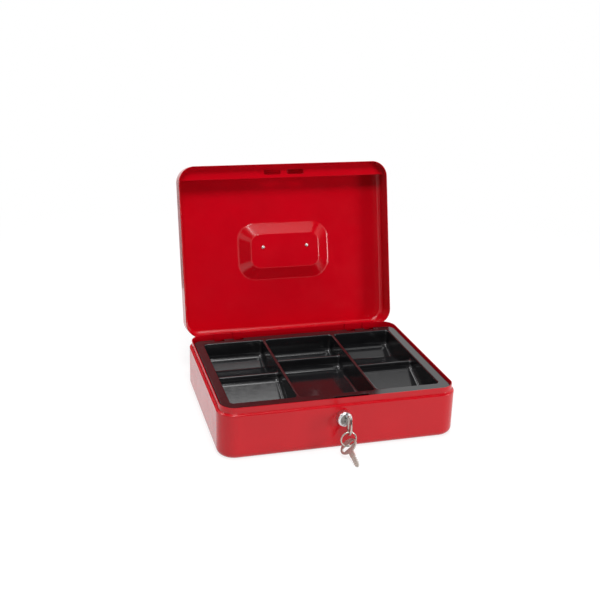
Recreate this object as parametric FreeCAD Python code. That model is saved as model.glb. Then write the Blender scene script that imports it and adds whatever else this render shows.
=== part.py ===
# Steel cash box with a hinged lid, a lift-out coin tray and a keyed hook lock.
# Millimetres, +X to the right of the keyhole side, +Y to the back, +Z up.
# The origin is on the standing surface, under the middle of the box.
# The lid is drawn closed and then turned open about its hinge pins.
import FreeCAD, Part
import math
import os

V = FreeCAD.Vector
X_AXIS = V(1, 0, 0)
Y_AXIS = V(0, 1, 0)
Z_AXIS = V(0, 0, 1)

# Overall size of the closed box
box_width = 300.0
box_depth = 236.0
box_height = 90.0

# Sheet steel of the base and the lid
sheet = 1.0
corner_radius = 22.0
bottom_bend = 8.0
shoulder_height = 58.0
shoulder_bend = 1.9
lip_height = 8.0
lip_inset = 3.0
lip_bend = 1.0
lid_seat_gap = 0.4
lid_bend = 7.0
lid_open_angle = 103.4

# Hinges on the rear lip
hinge_spread = 190.0
hinge_length = 46.0
hinge_sheet = 1.0
knuckle_radius = 2.0
knuckle_wall_gap = 0.1
knuckle_end_gap = 0.3
pin_radius = 1.0
pin_fit = 0.05
pin_head_radius = 1.6
pin_head_length = 0.8
tongue_width = 11.0
tongue_pitch = 27.0
tongue_drop = 10.0
hinge_cut_gap = 1.0
hinge_cut_height = 3.0
lid_leaf_height = 17.0
lid_leaf_clearance = 0.8

# Slotted strip inside the front of the lid, which the hook grips
strip_reach = 19.0
strip_rise = 10.0
strip_bend_gap = 2.6
strip_clearance = 0.3
slot_length = 23.5
slot_height = 6.5
slot_bridge = 10.0

# Pressed recess and carrying handle in the lid
recess_width = 132.0
recess_depth = 80.0
recess_shift = 4.0
recess_corner = 24.0
recess_floor_width = 99.0
recess_floor_depth = 48.0
recess_floor_corner = 13.0
recess_drop = 11.0
recess_edge = 3.0
recess_bend = 6.0
handle_wire = 5.0
handle_spacing = 64.0
handle_overhang = 10.0
handle_reach = 25.0
handle_bend = 7.0
handle_end = 4.0
handle_lift = 4.0
handle_setback = 2.0
post_width = 6.0
post_radius = 4.4
post_foot = 10.0
post_bore_fit = 0.1
rivet_radius = 2.0
rivet_fit = 0.05
rivet_head_radius = 2.5
rivet_head_height = 1.5
rivet_depth = 1.4

# Coin tray
tray_drop = 3.0
tray_side_gap = 1.6
tray_front_gap = 4.0
tray_rear_gap = 12.0
tray_wall = 2.0
tray_skirt = 6.0
tray_corner = 12.0
tray_rim_edge = 1.2
tray_mouth_edge = 1.8
tray_side_rim = 12.4
tray_front_rim = 15.0
tray_rear_rim = 15.0
tray_depth = 31.0
tray_divider = 4.0
tray_middle_width = 94.6
scoop_foot_radius = 8.0
scoop_ramp_slope = 22.0
scoop_bottom_radius = 10.0
rear_foot_drop = 23.5
front_foot_drop = 18.5
middle_foot_drop = 25.0
scoop_side_radius = 4.0
scoop_crest_radius = 2.5
scoop_crest_drop = 9.0
middle_crest_drop = 16.0
middle_scoop_length = 39.0
flat_foot_radius = 10.0
notch_left = 8.0
notch_right = 36.0
notch_clearance = 2.0
tongue_notch_depth = 6.0
tongue_notch_gap = 1.0

# Rests that carry the tray on the side walls
rest_width = 12.0
rest_height = 13.0
rest_sheet = 1.0
rest_wall_length = 170.0
rest_ear = 20.0
rest_ear_depth = 9.0
rest_stop_gap = 0.5
rest_stop_width = 12.0
rest_stop_height = 4.0
rest_corner_gap = 0.3

# Cam lock
lock_drop = 15.5
lock_stand_out = 10.0
lock_head_radius = 9.3
lock_head_round = 3.5
lock_body_radius = 7.5
lock_body_length = 9.8
lock_hole_fit = 0.1
nut_width = 19.0
nut_thickness = 3.0
nut_fit = 0.1
plug_radius = 5.2
plug_head_radius = 6.6
plug_head_length = 2.0
plug_sink = 0.4
plug_fit = 0.08
spindle_width = 5.6
spindle_fit = 0.1
cam_thickness = 2.0
cam_gap = 0.2
cam_hub_radius = 7.0
cam_arm_width = 10.0
hook_width = 5.0
hook_clearance = 0.8
hook_start = 20.0
hook_end = 98.0
hook_turn = 90.0
screw_radius = 1.8
screw_head_radius = 3.6
screw_head_height = 2.4
screw_length = 4.4

# Flat keys and the split ring
key_thickness = 2.0
key_blade_width = 6.6
key_blade_length = 16.0
key_neck_length = 4.5
key_slot_fit = 0.2
key_slot_end = 1.0
bow_length = 16.0
bow_width = 25.0
bow_hole_length = 20.0
bow_hole_width = 5.0
key_cut_count = 4
key_cut_pitch = 3.0
key_cut_start = 3.5
key_cut_depth = 1.3
key_groove_width = 1.2
key_groove_depth = 0.45
key_face_gap = 0.3
ring_inner_radius = 8.4
ring_thickness = 1.6
ring_width = 2.2
ring_seam = 0.45
ring_end_gap = 0.7
ring_end_angle = 25.0
ring_hang_gap = 0.45
spare_roll = 30.0
spare_yaw = 9.0
spare_slack = 0.7
spare_floor_gap = 0.2

# Places worked out from the sizes above
half_width = box_width / 2
half_depth = box_depth / 2
lip_top = shoulder_height + lip_height
lid_low = shoulder_height + lid_seat_gap
hinge_y = half_depth + knuckle_wall_gap + knuckle_radius
hinge_z = shoulder_height + hinge_sheet - knuckle_radius
lip_inside_y = half_depth - lip_inset - sheet
lip_inside_x = half_width - lip_inset - sheet
strip_low = lid_low + strip_rise
strip_top = strip_low + sheet
tray_top = lip_top - tray_drop
rest_top = tray_top - tray_skirt
recess_floor = box_height - recess_drop
pivot_z = recess_floor + handle_lift
lock_height = shoulder_height - lock_drop
lock_front = -half_depth - lock_stand_out
lock_body_end = -half_depth + lock_body_length
cam_front = lock_body_end + cam_gap
cam_back = cam_front + cam_thickness
hook_inner = math.hypot(slot_bridge / 2, strip_top - lock_height) + hook_clearance
hook_outer = hook_inner + hook_width
bow_y = lock_front - key_face_gap - key_neck_length - bow_length / 2
ring_wire_z = lock_height - bow_hole_length / 2 + ring_hang_gap + ring_thickness / 2
ring_z = ring_wire_z - ring_thickness / 2 - ring_inner_radius
handle_hang = lid_open_angle - 90.0


def block(x0, x1, y0, y1, z0, z1):
    """A box between two corners."""
    return Part.makeBox(x1 - x0, y1 - y0, z1 - z0, V(x0, y0, z0))


def rounded_wire(x0, x1, y0, y1, radius, z):
    """A rectangle with round corners, in a level plane."""
    k = radius * (1 - math.sqrt(0.5))
    edges = [
        Part.LineSegment(V(x0 + radius, y0, z), V(x1 - radius, y0, z)),
        Part.Arc(V(x1 - radius, y0, z), V(x1 - k, y0 + k, z), V(x1, y0 + radius, z)),
        Part.LineSegment(V(x1, y0 + radius, z), V(x1, y1 - radius, z)),
        Part.Arc(V(x1, y1 - radius, z), V(x1 - k, y1 - k, z), V(x1 - radius, y1, z)),
        Part.LineSegment(V(x1 - radius, y1, z), V(x0 + radius, y1, z)),
        Part.Arc(V(x0 + radius, y1, z), V(x0 + k, y1 - k, z), V(x0, y1 - radius, z)),
        Part.LineSegment(V(x0, y1 - radius, z), V(x0, y0 + radius, z)),
        Part.Arc(V(x0, y0 + radius, z), V(x0 + k, y0 + k, z), V(x0 + radius, y0, z)),
    ]
    return Part.Wire([edge.toShape() for edge in edges])


def rounded_prism(x0, x1, y0, y1, radius, z0, z1):
    """An upright solid on a rectangle with round corners."""
    return Part.Face(rounded_wire(x0, x1, y0, y1, radius, z0)).extrude(V(0, 0, z1 - z0))


def box_prism(inset, z0, z1):
    """The plan of the box, drawn in by an inset, between two heights."""
    x = half_width - inset
    y = half_depth - inset
    return rounded_prism(-x, x, -y, y, corner_radius - inset, z0, z1)


def level_edges(solid, z):
    """The edges of a solid that lie in one level plane."""
    found = []
    for edge in solid.Edges:
        box = edge.BoundBox
        if abs(box.ZMin - z) < 1e-4 and abs(box.ZMax - z) < 1e-4:
            found.append(edge)
    return found


def mouth_edges(solid, z):
    """The edges round the mouth of the pressed recess, at one height."""
    found = []
    for edge in level_edges(solid, z):
        box = edge.BoundBox
        across = max(box.XMax, -box.XMin) < recess_width / 2 + sheet
        along = max(box.YMax - recess_shift, recess_shift - box.YMin) < recess_depth / 2 + sheet
        if across and along:
            found.append(edge)
    return found


def rod(start, direction, radius, length):
    """A round bar."""
    return Part.makeCylinder(radius, length, start, direction)


def opened(shape):
    """A piece of the closed lid, turned open about the hinge pins."""
    turned = shape.copy()
    turned.rotate(V(0, hinge_y, hinge_z), X_AXIS, -lid_open_angle)
    return turned


def save(name, shape):
    """Write one piece to its own file."""
    shape.exportStep("parts/" + name + ".step")


def lip_foot_edges(solid):
    """The edges where the lip rises out of the shoulder."""
    reach_x = half_width - lip_inset + 1e-3
    reach_y = half_depth - lip_inset + 1e-3
    found = []
    for edge in level_edges(solid, shoulder_height):
        box = edge.BoundBox
        if max(box.XMax, -box.XMin) < reach_x and max(box.YMax, -box.YMin) < reach_y:
            found.append(edge)
    return found


def make_base_shell():
    """Deep drawn base: round bottom edge, shoulder and a raised lip that the lid fits over."""
    outside = box_prism(0, 0, shoulder_height)
    outside = outside.makeFillet(bottom_bend, level_edges(outside, 0))
    outside = outside.makeFillet(shoulder_bend, level_edges(outside, shoulder_height))
    inside = box_prism(sheet, sheet, shoulder_height - sheet)
    inside = inside.makeFillet(bottom_bend - sheet, level_edges(inside, sheet))
    lip = box_prism(lip_inset, shoulder_height - sheet, lip_top)
    mouth = box_prism(lip_inset + sheet, shoulder_height - 2 * sheet, lip_top + sheet)
    form = outside.fuse(lip).removeSplitter()
    shell = form.makeFillet(lip_bend, lip_foot_edges(form)).cut(inside).cut(mouth)
    hole = rod(V(0, -half_depth - sheet, lock_height), Y_AXIS, lock_body_radius + lock_hole_fit, 3 * sheet)
    return shell.cut(hole).removeSplitter()


def make_tray_rest(side):
    """Angle strip on a side wall, with an ear at each end turned up to keep the tray from sliding."""
    wall_x = half_width - sheet
    shelf_x = wall_x - rest_width
    ear_x = shelf_x - rest_ear
    low = rest_top - rest_sheet
    front = -lip_inside_y + tray_front_gap - rest_stop_gap - rest_sheet
    rear = lip_inside_y - tray_rear_gap + rest_stop_gap + rest_sheet
    half_wall = rest_wall_length / 2
    stop_top = rest_top + rest_stop_height
    stop_x = ear_x + rest_stop_width
    room = box_prism(sheet + rest_corner_gap, 0, box_height)
    ends = block(shelf_x, wall_x, front, rear, low, rest_top).fuse([
        block(ear_x, shelf_x, front, front + rest_ear_depth, low, rest_top),
        block(ear_x, shelf_x, rear - rest_ear_depth, rear, low, rest_top),
    ]).common(room)
    rest = ends.fuse([
        block(shelf_x, wall_x, -half_wall, half_wall, low, rest_top),
        block(wall_x - rest_sheet, wall_x, -half_wall, half_wall, rest_top - rest_height, rest_top),
        block(ear_x, stop_x, front, front + rest_sheet, low, stop_top),
        block(ear_x, stop_x, rear - rest_sheet, rear, low, stop_top),
    ]).removeSplitter()
    if side < 0:
        rest = rest.mirror(V(0, 0, 0), X_AXIS)
    return rest


def knuckle(x0, x1):
    """One barrel of a hinge, bored for the pin."""
    start = V(x0, hinge_y, hinge_z)
    barrel = rod(start, X_AXIS, knuckle_radius, x1 - x0)
    return barrel.cut(rod(start, X_AXIS, pin_radius + pin_fit, x1 - x0))


def knuckle_ends(centre):
    """Where the three barrels of a hinge start and stop along the pin."""
    third = hinge_length / 3
    left = centre - hinge_length / 2
    half_gap = knuckle_end_gap / 2
    return [
        (left, left + third - half_gap),
        (left + third + half_gap, left + 2 * third - half_gap),
        (left + 2 * third + half_gap, left + hinge_length),
    ]


def make_base_leaf(centre, base):
    """Leaf hooked over the rear lip: two tongues inside, two knuckles outside."""
    lip_outside_y = half_depth - lip_inset
    back_y = lip_outside_y + hinge_sheet
    left = centre - hinge_length / 2
    right = centre + hinge_length / 2
    top = lip_top + hinge_sheet
    pieces = [block(left, right, lip_outside_y, back_y, shoulder_height, top)]
    for side in (-1, 1):
        middle = centre + side * tongue_pitch / 2
        x0 = middle - tongue_width / 2
        x1 = middle + tongue_width / 2
        tongue = block(x0, x1, lip_inside_y - hinge_sheet, back_y, lip_top - tongue_drop, top)
        tongue = tongue.cut(block(x0, x1, lip_inside_y, lip_outside_y, 0, lip_top))
        tongue = tongue.cut(block(x0, x1, lip_outside_y, back_y, 0, shoulder_height))
        pieces.append(tongue)
    ends = knuckle_ends(centre)
    pin_room = rod(V(left, hinge_y, hinge_z), X_AXIS, pin_radius + pin_fit, hinge_length)
    for x0, x1 in (ends[0], ends[2]):
        foot = block(x0, x1, lip_outside_y, hinge_y, shoulder_height, shoulder_height + hinge_sheet)
        pieces.append(foot.cut(pin_room))
        pieces.append(knuckle(x0, x1))
    return pieces[0].fuse(pieces[1:]).cut(base).removeSplitter()


def make_hinge_pin(centre):
    """Hinge pin with a peened head at each end."""
    left = centre - hinge_length / 2
    shank_start = left - pin_head_length
    shank = rod(V(shank_start, hinge_y, hinge_z), X_AXIS, pin_radius, hinge_length + 2 * pin_head_length)
    first = rod(V(shank_start, hinge_y, hinge_z), X_AXIS, pin_head_radius, pin_head_length)
    last = rod(V(left + hinge_length, hinge_y, hinge_z), X_AXIS, pin_head_radius, pin_head_length)
    return shank.fuse([first, last]).removeSplitter()


def make_lid_leaf(centre):
    """Leaf on the back of the lid, with the middle knuckle."""
    face_y = half_depth
    back_y = half_depth + hinge_sheet
    left = centre - hinge_length / 2
    x0, x1 = knuckle_ends(centre)[1]
    plate_low = hinge_z + knuckle_radius + lid_leaf_clearance
    plate = block(left, left + hinge_length, face_y, back_y, plate_low, hinge_z + lid_leaf_height)
    neck = block(x0, x1, face_y, back_y, hinge_z, plate_low)
    leaf = plate.fuse([neck, knuckle(x0, x1)]).removeSplitter()
    return opened(leaf)


def recess_loft(drop):
    """The pressed recess as a tapered block, lowered by a drop."""
    top = rounded_wire(
        -recess_width / 2, recess_width / 2,
        recess_shift - recess_depth / 2, recess_shift + recess_depth / 2,
        recess_corner, box_height - drop,
    )
    floor = rounded_wire(
        -recess_floor_width / 2, recess_floor_width / 2,
        recess_shift - recess_floor_depth / 2, recess_shift + recess_floor_depth / 2,
        recess_floor_corner, recess_floor - drop,
    )
    solid = Part.makeLoft([top, floor], True, True)
    return solid.makeFillet(recess_edge, level_edges(solid, recess_floor - drop))


def make_lid_shell():
    """Deep drawn lid with a pressed handle recess and gaps for the hinges in its rear edge."""
    outside = box_prism(0, lid_low, box_height)
    outside = outside.makeFillet(lid_bend, level_edges(outside, box_height))
    inside = box_prism(sheet, lid_low, box_height - sheet)
    inside = inside.makeFillet(lid_bend - sheet, level_edges(inside, box_height - sheet))
    shell = outside.cut(inside).fuse(recess_loft(sheet)).cut(recess_loft(0)).removeSplitter()
    shell = shell.makeFillet(recess_bend, mouth_edges(shell, box_height))
    shell = shell.makeFillet(recess_bend - sheet, mouth_edges(shell, box_height - sheet))
    for side in (-1, 1):
        centre = side * hinge_spread / 2
        reach = hinge_length / 2 + hinge_cut_gap
        gap = block(
            centre - reach, centre + reach, half_depth - 2 * sheet, half_depth + sheet,
            lid_low, lid_low + hinge_cut_height,
        )
        shell = shell.cut(gap)
        hole = rod(
            V(side * handle_spacing / 2, -handle_setback, recess_floor - 2 * sheet), Z_AXIS,
            rivet_radius + rivet_fit, 3 * sheet,
        )
        shell = shell.cut(hole)
    return opened(shell.removeSplitter())


def make_lock_strip():
    """Angle strip across the inside of the lid's front, with two slots for the hook."""
    front = -half_depth + sheet
    back = -half_depth + strip_reach
    shelf = block(-half_width, half_width, front, back, strip_low, strip_top)
    leg_top = box_height - lid_bend - strip_bend_gap
    leg = block(-half_width, half_width, front, front + sheet, strip_low, leg_top)
    x_room = half_width - sheet - strip_clearance
    room = rounded_prism(
        -x_room, x_room, front, half_depth, corner_radius - sheet, strip_low, box_height
    )
    strip = shelf.fuse(leg).common(room)
    slot_y = (cam_front + cam_back) / 2
    for side in (-1, 1):
        middle = side * (slot_bridge + slot_length) / 2
        slot = rounded_prism(
            middle - slot_length / 2, middle + slot_length / 2,
            slot_y - slot_height / 2, slot_y + slot_height / 2,
            slot_height / 4, strip_low, strip_top,
        )
        strip = strip.cut(slot)
    return opened(strip.removeSplitter())


def make_handle_posts():
    """Two eyes in the floor of the recess that carry the handle."""
    posts = []
    for side in (-1, 1):
        x0 = side * handle_spacing / 2 - post_width / 2
        centre = V(x0, -handle_setback, pivot_z)
        eye = rod(centre, X_AXIS, post_radius, post_width)
        foot = block(
            x0, x0 + post_width, -handle_setback - post_foot / 2, -handle_setback + post_foot / 2,
            recess_floor, pivot_z - handle_wire / 2,
        )
        below = block(
            x0, x0 + post_width, -handle_setback - post_foot, -handle_setback + post_foot,
            recess_floor - post_radius, recess_floor,
        )
        bore = rod(centre, X_AXIS, handle_wire / 2 + post_bore_fit, post_width)
        pit = rod(
            V(side * handle_spacing / 2, -handle_setback, recess_floor), Z_AXIS,
            rivet_radius + rivet_fit, rivet_depth,
        )
        posts.append(opened(eye.fuse(foot).cut(below).cut(bore).cut(pit).removeSplitter()))
    return Part.makeCompound(posts)


def make_handle_rivets():
    """Rivets that hold the eyes, with their round heads inside the lid."""
    rivets = []
    for side in (-1, 1):
        x = side * handle_spacing / 2
        under = recess_floor - sheet
        shank = rod(V(x, -handle_setback, under), Z_AXIS, rivet_radius, sheet + rivet_depth)
        ball_radius = (rivet_head_radius ** 2 + rivet_head_height ** 2) / (2 * rivet_head_height)
        ball_centre = V(x, -handle_setback, under - rivet_head_height + ball_radius)
        head = Part.makeSphere(ball_radius, ball_centre)
        slab = block(
            x - ball_radius, x + ball_radius, -handle_setback - ball_radius, -handle_setback + ball_radius,
            under - rivet_head_height, under,
        )
        rivets.append(opened(shank.fuse(head.common(slab)).removeSplitter()))
    return Part.makeCompound(rivets)


def make_handle_bail():
    """Bent wire handle, hanging straight down behind the open lid."""
    y0 = -handle_setback
    y1 = y0 + handle_reach
    end_x = handle_spacing / 2 - handle_end
    side_x = handle_spacing / 2 + handle_overhang
    bend = handle_bend
    k = bend * (1 - math.sqrt(0.5))
    z = pivot_z
    path = [
        Part.LineSegment(V(-end_x, y0, z), V(-side_x + bend, y0, z)),
        Part.Arc(V(-side_x + bend, y0, z), V(-side_x + k, y0 + k, z), V(-side_x, y0 + bend, z)),
        Part.LineSegment(V(-side_x, y0 + bend, z), V(-side_x, y1 - bend, z)),
        Part.Arc(V(-side_x, y1 - bend, z), V(-side_x + k, y1 - k, z), V(-side_x + bend, y1, z)),
        Part.LineSegment(V(-side_x + bend, y1, z), V(side_x - bend, y1, z)),
        Part.Arc(V(side_x - bend, y1, z), V(side_x - k, y1 - k, z), V(side_x, y1 - bend, z)),
        Part.LineSegment(V(side_x, y1 - bend, z), V(side_x, y0 + bend, z)),
        Part.Arc(V(side_x, y0 + bend, z), V(side_x - k, y0 + k, z), V(side_x - bend, y0, z)),
        Part.LineSegment(V(side_x - bend, y0, z), V(end_x, y0, z)),
    ]
    spine = Part.Wire([part.toShape() for part in path])
    ring = Part.Wire(Part.makeCircle(handle_wire / 2, V(-end_x, y0, z), X_AXIS))
    bail = spine.makePipeShell([ring], True, True)
    bail.rotate(V(0, y0, z), X_AXIS, handle_hang)
    return opened(bail)


def scoop_edges(rear_y, rear_z, front_y, front_z, foot_drop):
    """Side outline of a coin scoop: steep wall, tight foot, a ramp down, and a curve up to the front."""
    foot = scoop_foot_radius
    bottom = scoop_bottom_radius
    slope = math.radians(scoop_ramp_slope)
    half_turn = (math.pi / 2 + slope) / 2
    floor_z = tray_top - tray_depth
    foot_end = V(0, rear_y - foot * (1 - math.sin(slope)), tray_top - foot_drop)
    foot_z = foot_end.z + foot * math.cos(slope)
    foot_middle = V(0, rear_y - foot * (1 - math.sin(half_turn)), foot_z - foot * math.cos(half_turn))
    ramp_z = floor_z + bottom * (1 - math.cos(slope))
    ramp_end = V(0, foot_end.y - (foot_end.z - ramp_z) / math.tan(slope), ramp_z)
    low = V(0, ramp_end.y - bottom * math.sin(slope), floor_z)
    low_middle = V(0, low.y + bottom * math.sin(slope / 2), floor_z + bottom * (1 - math.cos(slope / 2)))
    run = low.y - front_y
    rise = front_z - floor_z
    sweep = (run ** 2 + rise ** 2) / (2 * rise)
    angle = math.asin(run / sweep)
    rise_middle = V(0, low.y - sweep * math.sin(angle / 2), floor_z + sweep * (1 - math.cos(angle / 2)))
    edges = [
        Part.LineSegment(V(0, rear_y, rear_z), V(0, rear_y, foot_z)),
        Part.Arc(V(0, rear_y, foot_z), foot_middle, foot_end),
        Part.LineSegment(foot_end, ramp_end),
        Part.Arc(ramp_end, low_middle, low),
        Part.Arc(low, rise_middle, V(0, front_y, front_z)),
    ]
    return edges, angle


def crest_edges(rear_y, top_z, angle):
    """Round top of a partition, from a rising floor over to the wall of the next scoop."""
    radius = scoop_crest_radius
    start = V(0, rear_y, top_z)
    centre = V(0, rear_y - radius * math.sin(angle), top_z - radius * math.cos(angle))
    half = (math.pi / 2 + angle) / 2
    turn = math.pi / 2 - angle + half
    middle = V(0, centre.y + radius * math.cos(turn), centre.z + radius * math.sin(turn))
    end = V(0, centre.y - radius, centre.z)
    return Part.Arc(start, middle, end), end


def scoop_column():
    """Side outline of an outer column: two coin scoops, the front one with a longer ramp."""
    rear = lip_inside_y - tray_rear_gap - tray_rear_rim
    front = -lip_inside_y + tray_front_gap + tray_front_rim
    crest_y = (rear + front) / 2 + scoop_crest_radius
    crest_z = tray_top - scoop_crest_drop
    edges, angle = scoop_edges(rear, tray_top, crest_y, crest_z, rear_foot_drop)
    crest, wall = crest_edges(crest_y, crest_z, angle)
    more, angle = scoop_edges(wall.y, wall.z, front, tray_top, front_foot_drop)
    lid_line = Part.LineSegment(V(0, front, tray_top), V(0, rear, tray_top))
    return Part.Wire([part.toShape() for part in edges + [crest] + more + [lid_line]])


def flat_column():
    """Side outline of the middle column: a short coin scoop behind a flat note space."""
    rear = lip_inside_y - tray_rear_gap - tray_rear_rim
    front = -lip_inside_y + tray_front_gap + tray_front_rim
    floor_z = tray_top - tray_depth
    crest_y = rear - middle_scoop_length
    crest_z = tray_top - middle_crest_drop
    edges, angle = scoop_edges(rear, tray_top, crest_y, crest_z, middle_foot_drop)
    crest, wall = crest_edges(crest_y, crest_z, angle)
    foot = flat_foot_radius
    k = foot * (1 - math.sqrt(0.5))
    more = [
        crest,
        Part.LineSegment(wall, V(0, wall.y, floor_z + foot)),
        Part.Arc(V(0, wall.y, floor_z + foot), V(0, wall.y - k, floor_z + k), V(0, wall.y - foot, floor_z)),
        Part.LineSegment(V(0, wall.y - foot, floor_z), V(0, front + foot, floor_z)),
        Part.Arc(V(0, front + foot, floor_z), V(0, front + k, floor_z + k), V(0, front, floor_z + foot)),
        Part.LineSegment(V(0, front, floor_z + foot), V(0, front, tray_top)),
        Part.LineSegment(V(0, front, tray_top), V(0, rear, tray_top)),
    ]
    return Part.Wire([part.toShape() for part in edges + more])


def column_solids(outline, x0, x1):
    """The room of one tray column with round side edges, and the same room grown by the tray's wall."""
    room = Part.Face(outline).extrude(V(x1 - x0, 0, 0))
    room.translate(V(x0, 0, 0))
    sides = []
    for edge in room.Edges:
        box = edge.BoundBox
        on_end = box.XMax - box.XMin < 1e-4
        on_top = box.ZMin > tray_top - 1e-4
        if on_end and not on_top:
            sides.append(edge)
    grown = outline.makeOffset2D(tray_wall)
    body = Part.Face(grown).extrude(V(x1 - x0 + 2 * tray_wall, 0, 0))
    body.translate(V(x0 - tray_wall, 0, 0))
    return room.makeFillet(scoop_side_radius, sides), body


def mouth_rims(tray):
    """The upper edges round the mouths of the tray's columns."""
    inner_x = lip_inside_x - tray_side_gap - tray_side_rim
    found = []
    for edge in level_edges(tray, tray_top):
        box = edge.BoundBox
        if max(box.XMax, -box.XMin) < inner_x + sheet:
            front_in = box.YMin > -lip_inside_y + tray_front_gap + tray_front_rim - sheet
            rear_in = box.YMax < lip_inside_y - tray_rear_gap - tray_rear_rim + sheet
            if front_in and rear_in:
                found.append(edge)
    return found


def tongue_room(grow):
    """Room in the rear rim of the tray for the tongues of the hinges, grown on its sides and depth."""
    room = []
    half = tongue_width / 2 + tongue_notch_gap + grow
    notch_y = lip_inside_y - tray_rear_gap - tongue_notch_depth - grow
    for hinge in (-1, 1):
        for side in (-1, 1):
            x = hinge * hinge_spread / 2 + side * tongue_pitch / 2
            room.append(block(x - half, x + half, notch_y, half_depth, 0, box_height))
    return room


def make_coin_tray():
    """Moulded tray: flat rim with a skirt, four coin scoops, a short scoop and a flat note space."""
    outer_x = lip_inside_x - tray_side_gap
    front = -lip_inside_y + tray_front_gap
    rear = lip_inside_y - tray_rear_gap
    rim = rounded_prism(-outer_x, outer_x, front, rear, tray_corner, tray_top - tray_skirt, tray_top)
    rim = rim.cut(tongue_room(0)).removeSplitter()
    rim = rim.makeFillet(tray_rim_edge, level_edges(rim, tray_top))
    hollow = rounded_prism(
        -outer_x + tray_wall, outer_x - tray_wall, front + tray_wall, rear - tray_wall,
        tray_corner - tray_wall, tray_top - tray_skirt, tray_top - tray_wall,
    )
    tray = rim.cut(hollow.cut(tongue_room(tray_wall)))
    inner_x = outer_x - tray_side_rim
    middle = tray_middle_width / 2
    columns = [
        (scoop_column(), -inner_x, -middle - tray_divider),
        (flat_column(), -middle, middle),
        (scoop_column(), middle + tray_divider, inner_x),
    ]
    rooms = []
    below_top = block(-half_width, half_width, -half_depth, half_depth, 0, tray_top)
    for outline, x0, x1 in columns:
        room, body = column_solids(outline, x0, x1)
        rooms.append(room)
        tray = tray.fuse(body.common(below_top))
    for room in rooms:
        tray = tray.cut(room)
    tray = tray.removeSplitter()
    tray = tray.makeFillet(tray_mouth_edge, mouth_rims(tray))
    notch = block(
        -notch_left, notch_right, -half_depth, cam_back + notch_clearance, 0, box_height
    )
    return tray.cut(notch).removeSplitter()


def make_lock_barrel():
    """Round lock housing with a domed chrome head, bored for the plug."""
    start = V(0, lock_front, lock_height)
    head = rod(start, Y_AXIS, lock_head_radius, lock_stand_out)
    front_edges = [edge for edge in head.Edges if edge.BoundBox.YMax < lock_front + 1e-4]
    head = head.makeFillet(lock_head_round, front_edges)
    body = rod(V(0, -half_depth, lock_height), Y_AXIS, lock_body_radius, lock_body_length)
    bore = rod(start, Y_AXIS, plug_radius + plug_fit, lock_stand_out + lock_body_length)
    seat = rod(start, Y_AXIS, plug_head_radius + plug_fit, plug_sink + plug_head_length + plug_fit)
    return head.fuse(body).cut(bore).cut(seat).removeSplitter()


def make_lock_nut():
    """Hexagon nut that clamps the housing to the front wall from inside."""
    corner = nut_width / math.sqrt(3)
    y = -half_depth + sheet
    points = []
    for step in range(7):
        angle = math.radians(60 * step)
        points.append(V(corner * math.cos(angle), y, lock_height + corner * math.sin(angle)))
    nut = Part.Face(Part.makePolygon(points)).extrude(V(0, nut_thickness, 0))
    return nut.cut(rod(V(0, y, lock_height), Y_AXIS, lock_body_radius + nut_fit, nut_thickness))


def make_lock_plug():
    """Turning plug with the keyway in front and a square end behind for the hook."""
    front = lock_front + plug_sink
    head = rod(V(0, front, lock_height), Y_AXIS, plug_head_radius, plug_head_length)
    shank_length = lock_body_end - front
    shank = rod(V(0, front, lock_height), Y_AXIS, plug_radius, shank_length)
    half = spindle_width / 2
    spindle = block(-half, half, lock_body_end, cam_back, lock_height - half, lock_height + half)
    slot_x = key_thickness / 2 + key_slot_fit
    slot_z = key_blade_width / 2 + key_slot_fit
    slot_end = lock_front - key_face_gap + key_blade_length + key_slot_end
    keyway = block(-slot_x, slot_x, front, slot_end, lock_height - slot_z, lock_height + slot_z)
    thread = rod(V(0, cam_back - screw_length, lock_height), Y_AXIS, screw_radius, screw_length)
    return head.fuse([shank, spindle]).cut(keyway).cut(thread).removeSplitter()


def make_lock_cam():
    """Sickle shaped hook that swings up through a slot of the strip and over its bridge."""
    centre = V(0, cam_front, lock_height)
    hub = rod(centre, Y_AXIS, cam_hub_radius, cam_thickness)
    band = rod(centre, Y_AXIS, hook_outer, cam_thickness).cut(
        rod(centre, Y_AXIS, hook_inner, cam_thickness)
    )
    reach = 2 * hook_outer
    corners = [centre]
    for degrees in (hook_start, (hook_start + hook_end) / 2, hook_end):
        angle = math.radians(degrees)
        corners.append(centre + V(reach * math.cos(angle), 0, reach * math.sin(angle)))
    wedge = Part.Face(Part.makePolygon(corners + [centre])).extrude(V(0, cam_thickness, 0))
    hook = band.common(wedge)
    tip_angle = math.radians(hook_end)
    tip_radius = (hook_inner + hook_outer) / 2
    tip_centre = centre + V(tip_radius * math.cos(tip_angle), 0, tip_radius * math.sin(tip_angle))
    tip = rod(tip_centre, Y_AXIS, hook_width / 2, cam_thickness)
    arm_half = cam_arm_width / 2
    arm = block(
        0, hook_inner + hook_width / 2, cam_front, cam_back, lock_height - arm_half, lock_height + arm_half
    )
    arm_turn = hook_start + math.degrees(math.asin(arm_half / (hook_inner + hook_width / 2)))
    arm.rotate(centre, Y_AXIS, -arm_turn)
    half = spindle_width / 2 + spindle_fit
    square = block(-half, half, cam_front, cam_back, lock_height - half, lock_height + half)
    cam = hub.fuse([hook, tip, arm]).cut(square).removeSplitter()
    cam.rotate(centre, Y_AXIS, hook_turn)
    return cam


def make_cam_screw():
    """Screw that holds the hook on the plug."""
    head = rod(V(0, cam_back, lock_height), Y_AXIS, screw_head_radius, screw_head_height)
    rear_edges = [edge for edge in head.Edges if edge.BoundBox.YMin > cam_back + 1e-4]
    head = head.makeFillet(screw_head_height / 2, rear_edges)
    shank = rod(V(0, cam_back - screw_length, lock_height), Y_AXIS, screw_radius, screw_length)
    return head.fuse(shank).removeSplitter()


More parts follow.
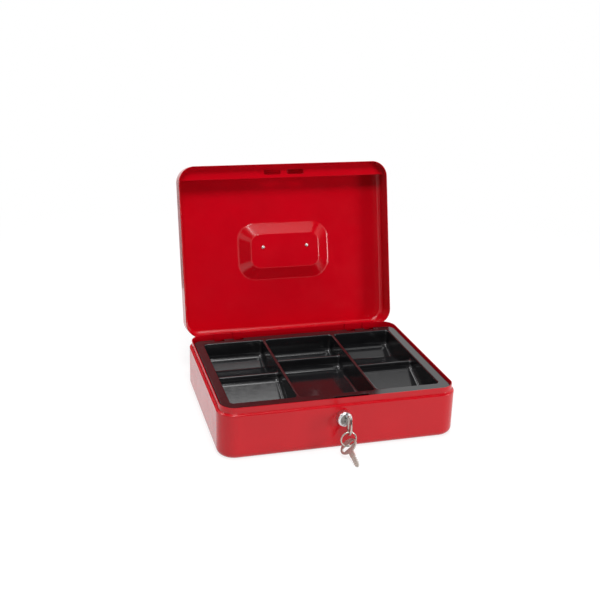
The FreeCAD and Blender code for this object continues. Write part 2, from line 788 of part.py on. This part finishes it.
def key_shape():
    """Flat key in the upright plane X = 0, with the middle of its bow at the origin and its tip to +Y."""
    half_t = key_thickness / 2
    bow = Part.Face(Part.Wire(Part.Ellipse(V(0, 0, 0), bow_width / 2, bow_length / 2).toShape()))
    bow.rotate(V(0, 0, 0), Z_AXIS, 90)
    bow = bow.extrude(V(0, 0, key_thickness))
    half_hole = bow_hole_width / 2
    hole_end = bow_hole_length / 2 - half_hole
    hole = block(-half_hole, half_hole, -hole_end, hole_end, 0, key_thickness).fuse([
        rod(V(0, -hole_end, 0), Z_AXIS, half_hole, key_thickness),
        rod(V(0, hole_end, 0), Z_AXIS, half_hole, key_thickness),
    ])
    half_blade = key_blade_width / 2
    tip_x = bow_length / 2 + key_neck_length + key_blade_length
    outline = [
        V(bow_length / 4, -half_blade, 0),
        V(tip_x - half_blade, -half_blade, 0),
        V(tip_x, -half_blade / 3, 0),
        V(tip_x, half_blade / 3, 0),
        V(tip_x - half_blade, half_blade, 0),
        V(bow_length / 4, half_blade, 0),
        V(bow_length / 4, -half_blade, 0),
    ]
    blade = Part.Face(Part.makePolygon(outline)).extrude(V(0, 0, key_thickness))
    key = bow.fuse(blade).cut(hole)
    for step in range(key_cut_count):
        x = bow_length / 2 + key_neck_length + key_cut_start + step * key_cut_pitch
        for side in (-1, 1):
            edge = side * half_blade
            notch = Part.makePolygon([
                V(x - key_cut_depth, edge, 0),
                V(x, edge - side * key_cut_depth, 0),
                V(x + key_cut_depth, edge, 0),
                V(x - key_cut_depth, edge, 0),
            ])
            key = key.cut(Part.Face(notch).extrude(V(0, 0, key_thickness)))
    groove_start = (bow_length + key_neck_length) / 2
    low = block(groove_start, tip_x, -key_groove_width, 0, 0, key_groove_depth)
    high = block(groove_start, tip_x, 0, key_groove_width, key_thickness - key_groove_depth, key_thickness)
    key = key.cut([low, high]).removeSplitter()
    key.translate(V(0, 0, -half_t))
    key.rotate(V(0, 0, 0), Z_AXIS, 90)
    key.rotate(V(0, 0, 0), Y_AXIS, 90)
    return key


def make_key():
    """The key in the lock, its bow upright."""
    key = key_shape()
    key.translate(V(0, bow_y, lock_height))
    return key


def make_key_ring():
    """Split ring of two flat coils through the bow of the key, hanging under its lower end."""
    half_y = ring_width / 2
    half_t = ring_thickness / 2
    mean = ring_inner_radius + half_t
    flat = half_y - half_t
    section = [
        Part.LineSegment(V(mean - half_t, -flat, 0), V(mean - half_t, flat, 0)),
        Part.Arc(V(mean - half_t, flat, 0), V(mean, half_y, 0), V(mean + half_t, flat, 0)),
        Part.LineSegment(V(mean + half_t, flat, 0), V(mean + half_t, -flat, 0)),
        Part.Arc(V(mean + half_t, -flat, 0), V(mean, -half_y, 0), V(mean - half_t, -flat, 0)),
    ]
    wire = Part.Wire([part.toShape() for part in section])
    ring = Part.Face(wire).revolve(V(0, 0, 0), Y_AXIS, 360)
    for side in (-1, 1):
        face_x = mean + side * half_t
        seam = Part.makePolygon([
            V(face_x - side * ring_seam, 0, 0),
            V(face_x + side * ring_seam, ring_seam, 0),
            V(face_x + side * ring_seam, -ring_seam, 0),
            V(face_x - side * ring_seam, 0, 0),
        ])
        ring = ring.cut(Part.Face(seam).revolve(V(0, 0, 0), Y_AXIS, 360))
        coil_end = block(
            ring_inner_radius - half_t, mean + ring_thickness, min(0, side * half_y), max(0, side * half_y),
            -ring_end_gap / 2, ring_end_gap / 2,
        )
        coil_end.rotate(V(0, 0, 0), Y_AXIS, side * ring_end_angle)
        ring = ring.cut(coil_end)
    ring = ring.removeSplitter()
    ring.translate(V(0, bow_y, ring_z))
    return ring


def make_spare_key():
    """Second key on the ring, its tip down on the standing surface in front of the box."""
    key = key_shape()
    key.rotate(V(0, 0, 0), Z_AXIS, 180)
    reach = bow_length / 2 + key_neck_length + key_blade_length
    hang_z = ring_z - ring_inner_radius - ring_thickness / 2
    roll = math.radians(spare_roll)
    drop = (key_blade_width * math.cos(roll) / 3 + key_thickness * math.sin(roll)) / 2
    dip = math.asin((hang_z - spare_floor_gap) / math.hypot(reach + spare_slack, drop))
    dip = dip - math.atan2(drop, reach + spare_slack)
    key.translate(V(0, -spare_slack, 0))
    key.rotate(V(0, 0, 0), Y_AXIS, spare_roll)
    key.rotate(V(0, 0, 0), X_AXIS, math.degrees(dip))
    key.rotate(V(0, 0, 0), Z_AXIS, spare_yaw)
    key.translate(V(0, bow_y, hang_z))
    return key


os.makedirs("parts", exist_ok=True)
base_shell = make_base_shell()
save("base_shell", base_shell)
save("tray_rest_left", make_tray_rest(-1))
save("tray_rest_right", make_tray_rest(1))
for side_name, side_sign in (("left", -1), ("right", 1)):
    hinge_x = side_sign * hinge_spread / 2
    save("hinge_base_leaf_" + side_name, make_base_leaf(hinge_x, base_shell))
    save("hinge_pin_" + side_name, make_hinge_pin(hinge_x))
    save("hinge_lid_leaf_" + side_name, make_lid_leaf(hinge_x))
save("lid_shell", make_lid_shell())
save("lock_strip", make_lock_strip())
save("handle_posts", make_handle_posts())
save("handle_rivets", make_handle_rivets())
save("handle_bail", make_handle_bail())
save("coin_tray", make_coin_tray())
save("lock_barrel", make_lock_barrel())
save("lock_nut", make_lock_nut())
save("lock_plug", make_lock_plug())
save("lock_cam", make_lock_cam())
save("cam_screw", make_cam_screw())
save("key", make_key())
save("key_ring", make_key_ring())
save("spare_key", make_spare_key())
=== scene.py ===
# A red steel cash box that stands open, with a black coin tray inside, a key in the lock
# and a spare key on its ring.
import bpy
import math
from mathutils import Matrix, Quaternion, Vector

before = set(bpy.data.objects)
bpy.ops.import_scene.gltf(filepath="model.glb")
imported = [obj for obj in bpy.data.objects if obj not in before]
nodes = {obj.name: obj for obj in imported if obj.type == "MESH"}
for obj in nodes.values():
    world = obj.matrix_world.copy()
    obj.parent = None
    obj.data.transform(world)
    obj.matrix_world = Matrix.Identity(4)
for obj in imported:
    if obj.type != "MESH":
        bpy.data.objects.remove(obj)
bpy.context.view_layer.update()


# Base. A deep drawn tray of 1 mm steel with a shoulder and a raised lip that the lid closes over.
# It is degreased, sprayed with red enamel and baked. The film has a fine orange peel. Cut edges
# are painted darker, partly for the thin film there and partly as painted shade along the edges.
enamel_red = (0.55, 0.0005, 0.008, 1.0)
enamel_deep = (0.51, 0.0004, 0.007, 1.0)
# Colour of cut edges: thin paint, and painted shade along the edges.
enamel_thin_and_shade_edge = (0.15, 0.002, 0.004, 1.0)
enamel_edge = 0.0005
enamel_drift_grains = 14.0
enamel_drift_span = (0.35, 0.65)
enamel_haze_grains = 45.0
enamel_roughness = (0.15, 0.21)
enamel_peel_grains = 620.0
enamel_peel_strength = 0.12
enamel_peel_depth = 0.0004
enamel_ior = 1.43
mottle_span = (0.3, 0.7)
share_span = (0.0, 1.0)


def new_finish(name):
    """A node material and its surface shader."""
    finish = bpy.data.materials.new(name)
    finish.use_nodes = True
    return finish, finish.node_tree.nodes["Principled BSDF"]


def add_node(finish, kind, settings=None, **values):
    """A shader node with its settings and the values of its input sockets."""
    node = finish.node_tree.nodes.new(kind)
    for name, value in (settings or {}).items():
        setattr(node, name, value)
    for name, value in values.items():
        node.inputs[name.replace("_", " ")].default_value = value
    return node


def wire(finish, *pairs):
    """Links from output sockets to input sockets."""
    for source, target in pairs:
        finish.node_tree.links.new(source, target)


def own_place(finish):
    """The place on the piece, in metres."""
    return add_node(finish, "ShaderNodeTexCoord").outputs["Object"]


def noise(finish, place, grains, detail=2.0, roughness=0.5):
    """Noise between 0 and 1 at so many grains to the metre."""
    node = add_node(finish, "ShaderNodeTexNoise", Scale=grains, Detail=detail, Roughness=roughness)
    wire(finish, (place, node.inputs["Vector"]))
    return node.outputs["Fac"]


def ramp(finish, value, span, to_span):
    """A value carried from one span to another, held at the ends."""
    low, high = span
    to_low, to_high = to_span
    node = add_node(finish, "ShaderNodeMapRange", From_Min=low, From_Max=high, To_Min=to_low, To_Max=to_high)
    wire(finish, (value, node.inputs["Value"]))
    return node.outputs["Result"]


def blend_colour(finish, share, first, second):
    """Two colours, or a colour socket and a colour, mixed by a share."""
    first_socket = 6
    second_socket = 7
    mixed_socket = 2
    node = add_node(finish, "ShaderNodeMix", {"data_type": "RGBA"})
    wire(finish, (share, node.inputs["Factor"]))
    for socket, colour in ((node.inputs[first_socket], first), (node.inputs[second_socket], second)):
        if isinstance(colour, tuple):
            socket.default_value = colour
        else:
            wire(finish, (colour, socket))
    return node.outputs[mixed_socket]


def soft_normal(finish, radius):
    """The surface's normal, rounded at cut edges by a radius."""
    bevel = add_node(finish, "ShaderNodeBevel", {"samples": 4}, Radius=radius)
    return bevel.outputs["Normal"]


def edge_share(finish, normal):
    """A share that grows towards cut edges, where the rounded normal turns from the true one."""
    flat_turn = 0.995
    edge_turn = 0.75
    true = add_node(finish, "ShaderNodeNewGeometry")
    turn = add_node(finish, "ShaderNodeVectorMath", {"operation": "DOT_PRODUCT"})
    wire(finish, (normal, turn.inputs[0]), (true.outputs["Normal"], turn.inputs[1]))
    return ramp(finish, turn.outputs["Value"], (flat_turn, edge_turn), share_span)


def bump(finish, height, normal, strength, depth):
    """A bumped normal over another normal."""
    node = add_node(finish, "ShaderNodeBump", Strength=strength, Distance=depth)
    wire(finish, (height, node.inputs["Height"]), (normal, node.inputs["Normal"]))
    return node.outputs["Normal"]


def coat(finish, surface, colour, roughness, normal):
    """Colour, roughness and normal on the surface shader."""
    wire(
        finish,
        (colour, surface.inputs["Base Color"]),
        (roughness, surface.inputs["Roughness"]),
        (normal, surface.inputs["Normal"]),
    )


def baked_enamel(name):
    """Red baked enamel on sheet steel."""
    finish, surface = new_finish(name)
    place = own_place(finish)
    normal = soft_normal(finish, enamel_edge)
    drift = noise(finish, place, enamel_drift_grains, detail=3.0)
    drift = ramp(finish, drift, enamel_drift_span, share_span)
    colour = blend_colour(finish, drift, enamel_red, enamel_deep)
    # Cut edges are painted darker, partly as thin paint and partly as painted shade.
    colour = blend_colour(finish, edge_share(finish, normal), colour, enamel_thin_and_shade_edge)
    haze = noise(finish, place, enamel_haze_grains, detail=4.0)
    roughness = ramp(finish, haze, mottle_span, enamel_roughness)
    peel = noise(finish, place, enamel_peel_grains, detail=1.0)
    normal = bump(finish, peel, normal, enamel_peel_strength, enamel_peel_depth)
    coat(finish, surface, colour, roughness, normal)
    surface.inputs["IOR"].default_value = enamel_ior
    return finish


def finish_piece(name, finish):
    """A CAD piece in its finish."""
    piece = nodes[name]
    piece.data.materials.clear()
    piece.data.materials.append(finish)


red_enamel = baked_enamel("red_enamel")
finish_piece("base_shell", red_enamel)


# Tray rests. Two bent steel angle strips with upturned ears, on which the coin tray sits.
# They are spot welded to the side walls before painting, so they are red too.
for side in ("left", "right"):
    finish_piece("tray_rest_" + side, red_enamel)


# Hinges. Each has a leaf on the base, whose tongues hook over the rear lip, a leaf on the lid and
# a plain steel pin. The leaves are welded on before painting. The pins are zinc plated and are
# pushed in after it.
zinc_grey = (0.50, 0.50, 0.50, 1.0)
zinc_pale = (0.68, 0.67, 0.65, 1.0)
zinc_edge = 0.0002
zinc_cloud_grains = 180.0
zinc_rub_grains = 900.0
zinc_rub_strength = 0.08
zinc_rub_depth = 0.0001
zinc_roughness = (0.26, 0.42)


def zinc_plate(name):
    """Zinc plated steel, a little cloudy, with fine rubbing marks."""
    finish, surface = new_finish(name)
    place = own_place(finish)
    normal = soft_normal(finish, zinc_edge)
    cloud = noise(finish, place, zinc_cloud_grains, detail=4.0)
    colour = blend_colour(finish, cloud, zinc_grey, zinc_pale)
    rubbed = noise(finish, place, zinc_rub_grains, detail=3.0, roughness=0.7)
    roughness = ramp(finish, rubbed, mottle_span, zinc_roughness)
    normal = bump(finish, rubbed, normal, zinc_rub_strength, zinc_rub_depth)
    coat(finish, surface, colour, roughness, normal)
    surface.inputs["Metallic"].default_value = 1.0
    return finish


plated_steel = zinc_plate("plated_steel")
for side in ("left", "right"):
    finish_piece("hinge_base_leaf_" + side, red_enamel)
    finish_piece("hinge_pin_" + side, plated_steel)
    finish_piece("hinge_lid_leaf_" + side, red_enamel)


# Lid. Drawn from the same sheet, with a pressed recess for the handle, and painted with the base.
# A slotted angle strip is welded across the inside of its front for the lock's hook.
finish_piece("lid_shell", red_enamel)
finish_piece("lock_strip", red_enamel)


# Handle. A bent wire bail, nickel and chrome plated, that folds into the recess.
# It turns in two eyes, which are riveted through the floor of the recess.
chrome_hazed = (0.66, 0.66, 0.67, 1.0)
chrome_clear = (0.76, 0.76, 0.76, 1.0)
chrome_edge = 0.0003
chrome_haze_grains = 260.0
chrome_hair_grains = 2400.0
chrome_hair_strength = 0.03
chrome_hair_depth = 0.00005
chrome_roughness = (0.24, 0.33)


def bright_chrome(name, hazed, clear):
    """Bright plating between a hazed and a clear tone, with hairline scratches."""
    finish, surface = new_finish(name)
    place = own_place(finish)
    normal = soft_normal(finish, chrome_edge)
    haze = noise(finish, place, chrome_haze_grains, detail=3.0)
    colour = blend_colour(finish, haze, hazed, clear)
    roughness = ramp(finish, haze, mottle_span, chrome_roughness)
    hair = noise(finish, place, chrome_hair_grains, detail=2.0, roughness=0.6)
    normal = bump(finish, hair, normal, chrome_hair_strength, chrome_hair_depth)
    coat(finish, surface, colour, roughness, normal)
    surface.inputs["Metallic"].default_value = 1.0
    return finish


chrome = bright_chrome("chrome", chrome_hazed, chrome_clear)
finish_piece("handle_posts", chrome)
finish_piece("handle_rivets", plated_steel)
finish_piece("handle_bail", chrome)


# Lock. A chrome housing with a domed head, clamped in the front wall by a nut, and a plug with the
# keyway, its chrome painted darker as painted shade in the keyway. The plug carries a zinc plated hook on a
# square, held by a screw.
# The plug's chrome, painted darker as painted shade in the keyway.
plug_painted_shade_hazed = (0.34, 0.34, 0.34, 1.0)
plug_painted_shade_clear = (0.45, 0.45, 0.45, 1.0)
plug_painted_shade_chrome = bright_chrome("plug_painted_shade_chrome", plug_painted_shade_hazed, plug_painted_shade_clear)
finish_piece("lock_barrel", chrome)
finish_piece("lock_nut", plated_steel)
finish_piece("lock_plug", plug_painted_shade_chrome)
finish_piece("lock_cam", plated_steel)
finish_piece("cam_screw", plated_steel)


# Coin tray. One black moulding that lifts out, with four coin scoops, a short scoop and a flat space
# for notes. The mould is polished, so the plastic is glossy, with a faint ripple and light scuffs
# on the floors.
plastic_black = (0.007, 0.007, 0.008, 1.0)
plastic_scuffed = (0.012, 0.012, 0.013, 1.0)
plastic_edge = 0.0006
plastic_scuff_grains = 110.0
plastic_roughness = (0.105, 0.17)
plastic_ripple_grains = 260.0
plastic_ripple_strength = 0.06
plastic_ripple_depth = 0.0003
plastic_ior = 1.5


def gloss_moulding(name):
    """Black polished moulding."""
    finish, surface = new_finish(name)
    place = own_place(finish)
    normal = soft_normal(finish, plastic_edge)
    scuff = noise(finish, place, plastic_scuff_grains, detail=5.0, roughness=0.65)
    colour = blend_colour(finish, scuff, plastic_black, plastic_scuffed)
    roughness = ramp(finish, scuff, mottle_span, plastic_roughness)
    ripple = noise(finish, place, plastic_ripple_grains)
    normal = bump(finish, ripple, normal, plastic_ripple_strength, plastic_ripple_depth)
    coat(finish, surface, colour, roughness, normal)
    surface.inputs["IOR"].default_value = plastic_ior
    return finish


black_plastic = gloss_moulding("black_plastic")
finish_piece("coin_tray", black_plastic)


# Keys. Two flat keys stamped from nickel plated brass, one in the lock and one hanging from it on a
# split ring. The plating is drawn across the flats and rubbed to a warmer tone on the edges.
nickel_grey = (0.44, 0.41, 0.37, 1.0)
nickel_pale = (0.56, 0.52, 0.48, 1.0)
nickel_rubbed = (0.48, 0.40, 0.29, 1.0)
nickel_edge = 0.0002
nickel_tone_grains = 320.0
nickel_drawn_grains = 1500.0
nickel_drawn_strength = 0.06
nickel_drawn_depth = 0.00008
nickel_roughness = (0.20, 0.36)


def nickel_brass(name):
    """Nickel plated brass, drawn across the flat and warmer where it is handled."""
    finish, surface = new_finish(name)
    place = own_place(finish)
    normal = soft_normal(finish, nickel_edge)
    tone = noise(finish, place, nickel_tone_grains, detail=3.0)
    colour = blend_colour(finish, tone, nickel_grey, nickel_pale)
    colour = blend_colour(finish, edge_share(finish, normal), colour, nickel_rubbed)
    drawn = noise(finish, place, nickel_drawn_grains, detail=3.0, roughness=0.7)
    roughness = ramp(finish, drawn, mottle_span, nickel_roughness)
    normal = bump(finish, drawn, normal, nickel_drawn_strength, nickel_drawn_depth)
    coat(finish, surface, colour, roughness, normal)
    surface.inputs["Metallic"].default_value = 1.0
    return finish


key_metal = nickel_brass("key_metal")
finish_piece("key", key_metal)
finish_piece("key_ring", key_metal)
finish_piece("spare_key", key_metal)


# Table. A wide sheet of pale paper that the box stands on.
# Eyes and reflections see it as plain white away from the box; near the box it keeps the soft shadow.
table_half = 30.0
paper_lit = (0.84, 0.84, 0.84, 1.0)
paper_shaded = (0.24, 0.24, 0.24, 1.0)
paper_glow = 0.80
paper_white = 1.0
paper_fade = (0.45, 1.2)


def seen_share(finish):
    """1 for rays from the camera and for those that reflect or pass through, else 0."""
    path = add_node(finish, "ShaderNodeLightPath")
    first = add_node(finish, "ShaderNodeMath", {"operation": "MAXIMUM"})
    both = add_node(finish, "ShaderNodeMath", {"operation": "MAXIMUM"})
    wire(
        finish,
        (path.outputs["Is Camera Ray"], first.inputs[0]),
        (path.outputs["Is Glossy Ray"], first.inputs[1]),
        (first.outputs["Value"], both.inputs[0]),
        (path.outputs["Is Transmission Ray"], both.inputs[1]),
    )
    return both.outputs["Value"]


def blend_shader(finish, share, first, second):
    """Two shaders mixed by a share."""
    node = add_node(finish, "ShaderNodeMixShader")
    wire(finish, (share, node.inputs[0]), (first, node.inputs[1]), (second, node.inputs[2]))
    return node.outputs[0]


def studio_sheet(name, corners, finish):
    """A flat sheet with four corners that belongs to the studio."""
    mesh = bpy.data.meshes.new(name)
    mesh.from_pydata(corners, [], [(0, 1, 2, 3)])
    mesh.materials.append(finish)
    sheet = bpy.data.objects.new(name, mesh)
    bpy.context.scene.collection.objects.link(sheet)
    return sheet


def table_paper(name):
    """Paper that lights the box as pale paper and is seen as white with a soft shadow."""
    finish, surface = new_finish(name)
    finish.node_tree.nodes.remove(surface)
    lit = add_node(finish, "ShaderNodeBsdfDiffuse", Color=paper_lit)
    shaded = add_node(finish, "ShaderNodeBsdfDiffuse", Color=paper_shaded)
    glow = add_node(finish, "ShaderNodeEmission", Strength=paper_glow)
    near = add_node(finish, "ShaderNodeAddShader")
    far = add_node(finish, "ShaderNodeEmission", Strength=paper_white)
    reach = add_node(finish, "ShaderNodeVectorMath", {"operation": "LENGTH"})
    wire(
        finish,
        (glow.outputs[0], near.inputs[0]),
        (shaded.outputs[0], near.inputs[1]),
        (own_place(finish), reach.inputs[0]),
    )
    fade = ramp(finish, reach.outputs["Value"], paper_fade, share_span)
    seen = blend_shader(finish, fade, near.outputs[0], far.outputs[0])
    paper = blend_shader(finish, seen_share(finish), lit.outputs[0], seen)
    wire(finish, (paper, finish.node_tree.nodes["Material Output"].inputs["Surface"]))
    return finish


studio_sheet("table_top", [
    (-table_half, -table_half, 0.0), (table_half, -table_half, 0.0),
    (table_half, table_half, 0.0), (-table_half, table_half, 0.0),
], table_paper("white_paper"))


# Room. Plain white walls, far off.
# They light the box only a little, and eyes and reflections see them as plain white.
room_white = (1.0, 1.0, 1.0, 1.0)
room_light = 0.1
room_seen = 1.0
room = bpy.data.worlds.new("white_room")
room.use_nodes = True
room.node_tree.nodes.remove(room.node_tree.nodes["Background"])
dim_walls = add_node(room, "ShaderNodeBackground", Color=room_white, Strength=room_light)
seen_walls = add_node(room, "ShaderNodeBackground", Color=room_white, Strength=room_seen)
walls = blend_shader(room, seen_share(room), dim_walls.outputs[0], seen_walls.outputs[0])
wire(room, (walls, room.node_tree.nodes["World Output"].inputs["Surface"]))
bpy.context.scene.world = room


# Lamps. Soft boxes: a main light from the front, a fill from the right and a small one for the keys.
# A wide panel and narrow strips hang overhead, and the tray and the recess mirror them.
def softbox(name, place, aim, width, height, power):
    """A soft light that faces a point."""
    lamp = bpy.data.lights.new(name, "AREA")
    lamp.shape = "RECTANGLE"
    lamp.size = width
    lamp.size_y = height
    lamp.energy = power
    stand = bpy.data.objects.new(name, lamp)
    stand.location = place
    stand.rotation_mode = "QUATERNION"
    stand.rotation_quaternion = (Vector(aim) - Vector(place)).to_track_quat("-Z", "Y")
    bpy.context.scene.collection.objects.link(stand)


def overhead(name, right, back, up, width, depth, power):
    """A soft light that hangs overhead and faces straight down."""
    softbox(name, (right, back, up), (right, back, 0.0), width, depth, power)


panel_up = 1.95
strip_up = 1.85
softbox("main_light", place=(-0.25, -1.2, 2.4), aim=(0.0, 0.0, 0.12), width=1.0, height=0.8, power=43.0)
softbox("fill_light", place=(1.85, -1.36, 0.42), aim=(0.0, 0.0, 0.1), width=0.6, height=0.6, power=20.0)
softbox("key_light", place=(-1.1, 0.5, 1.5), aim=(0.0, 0.0, 0.05), width=0.35, height=0.35, power=6.0)
overhead("top_panel", right=0.1, back=0.35, up=panel_up, width=1.8, depth=1.7, power=4.0)
overhead("top_light", right=0.15, back=0.425, up=strip_up, width=0.8, depth=0.35, power=4.22)
overhead("rear_light", right=0.085, back=0.93, up=strip_up, width=0.67, depth=0.34, power=1.57)
overhead("right_light", right=0.9, back=0.44, up=strip_up, width=0.6, depth=0.38, power=0.895)
overhead("far_light", right=0.9, back=0.93, up=strip_up, width=0.6, depth=0.34, power=0.352)
overhead("foot_light", right=0.0, back=0.12, up=strip_up, width=0.7, depth=0.3, power=4.2)
overhead("recess_light", right=0.3, back=-0.28, up=strip_up, width=1.2, depth=0.4, power=1.8)


# Dark cloths. Black cloth on frames, which only reflections see, as the unlit part of the room.
# Without them the red and the black would go pale.
cloth_black = (0.012, 0.012, 0.012, 1.0)
flag_half = 3.0
flag_front = -3.0
flag_rear = 1.6
flag_top = 2.9
front_flag_left = -0.4
side_flag_front = -2.5
side_flag_rear = -0.8
side_flag_top = 1.2
card_rear = 0.5
card_left = -0.9
card_right = -0.2
card_height = 0.45
dark_cloth, cloth_surface = new_finish("dark_cloth")
cloth_surface.inputs["Base Color"].default_value = cloth_black
cloth_surface.inputs["Roughness"].default_value = 1.0
cloth_surface.inputs["Specular IOR Level"].default_value = 0.0


def flag(name, corners):
    """A dark cloth panel that only reflections see."""
    panel = studio_sheet(name, corners, dark_cloth)
    panel.visible_camera = False
    panel.visible_diffuse = False
    panel.visible_transmission = False
    panel.visible_shadow = False


flag("ceiling_flag", [
    (-flag_half, flag_front, flag_top), (flag_half, flag_front, flag_top),
    (flag_half, flag_rear, flag_top), (-flag_half, flag_rear, flag_top),
])
flag("front_flag", [
    (front_flag_left, flag_front, 0.0), (flag_half, flag_front, 0.0),
    (flag_half, flag_front, flag_top), (front_flag_left, flag_front, flag_top),
])
flag("left_flag", [
    (-flag_half, side_flag_front, 0.0), (-flag_half, side_flag_rear, 0.0),
    (-flag_half, side_flag_rear, side_flag_top), (-flag_half, side_flag_front, side_flag_top),
])
flag("rear_card", [
    (card_left, card_rear, 0.0), (card_right, card_rear, 0.0),
    (card_right, card_rear, card_height), (card_left, card_rear, card_height),
])


# Camera. It stands before the box, a little to the left and above, and is turned slightly on its axis.
# The lens is a short telephoto, which leaves white paper all round the box.
lens_azimuth = math.radians(-16.0)
lens_height = math.radians(19.83)
lens_roll = math.radians(1.58)
lens_target = Vector((-0.02395, 0.0, 0.15059))
lens_distance = 1.1594
lens_focus = 55.07
lens_sensor = 36.0
lens_back = Vector((
    math.sin(lens_azimuth) * math.cos(lens_height),
    -math.cos(lens_azimuth) * math.cos(lens_height),
    math.sin(lens_height),
))
lens = bpy.data.cameras.new("front_left_view")
lens.sensor_width = lens_sensor
lens.lens = lens_focus
camera = bpy.data.objects.new("front_left_view", lens)
camera.location = lens_target + lens_back * lens_distance
camera.rotation_mode = "QUATERNION"
camera.rotation_quaternion = (-lens_back).to_track_quat("-Z", "Y") @ Quaternion((0, 0, 1), lens_roll)
bpy.context.scene.collection.objects.link(camera)
bpy.context.scene.camera = camera
bpy.context.scene.view_settings.view_transform = "Standard"
